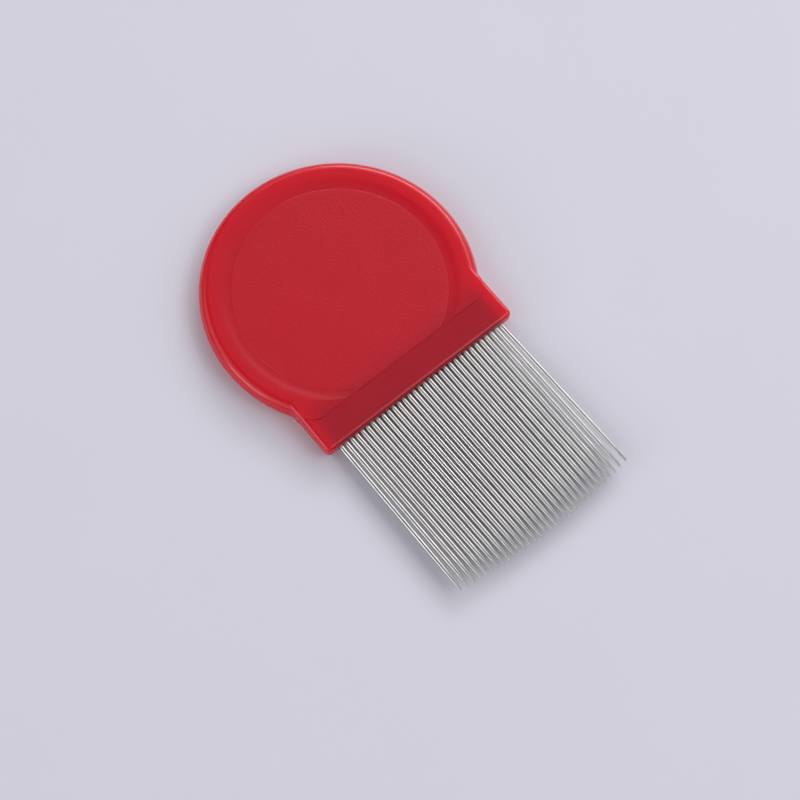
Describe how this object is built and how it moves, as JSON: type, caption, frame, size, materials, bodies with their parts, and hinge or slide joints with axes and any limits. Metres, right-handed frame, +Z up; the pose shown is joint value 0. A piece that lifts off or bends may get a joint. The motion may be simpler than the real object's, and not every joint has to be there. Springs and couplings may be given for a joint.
{
  "type": "flea comb",
  "caption": "Pet flea comb: a flat moulded plastic handle, a round thumb pad running into a straight bar, with one row of close-set tapered steel pins fixed in the bar.",
  "frame": {"origin": "on the surface the comb lies on, under the centre of its overall length and width", "axes": "+Z up out of the broad face, +Y from the pins towards the thumb pad (the pins point along -Y), +X across the row of pins"},
  "size_m": [0.06, 0.0994, 0.005],
  "materials": {
    "handle_plastic": "glossy moulded red, with a satin panel on both faces of the thumb pad",
    "pin_steel": "bright drawn wire"
  },
  "bodies": {
    "root": {"handle": "handle_plastic", "pin_01": "pin_steel", "pin_02": "pin_steel", "pin_03": "pin_steel", "pin_04": "pin_steel", "pin_05": "pin_steel", "pin_06": "pin_steel", "pin_07": "pin_steel", "pin_08": "pin_steel", "pin_09": "pin_steel", "pin_10": "pin_steel", "pin_11": "pin_steel", "pin_12": "pin_steel", "pin_13": "pin_steel", "pin_14": "pin_steel", "pin_15": "pin_steel", "pin_16": "pin_steel", "pin_17": "pin_steel", "pin_18": "pin_steel", "pin_19": "pin_steel", "pin_20": "pin_steel", "pin_21": "pin_steel", "pin_22": "pin_steel", "pin_23": "pin_steel", "pin_24": "pin_steel", "pin_25": "pin_steel", "pin_26": "pin_steel", "pin_27": "pin_steel", "pin_28": "pin_steel", "pin_29": "pin_steel", "pin_30": "pin_steel", "pin_31": "pin_steel", "pin_32": "pin_steel"}
  },
  "joints": []
}
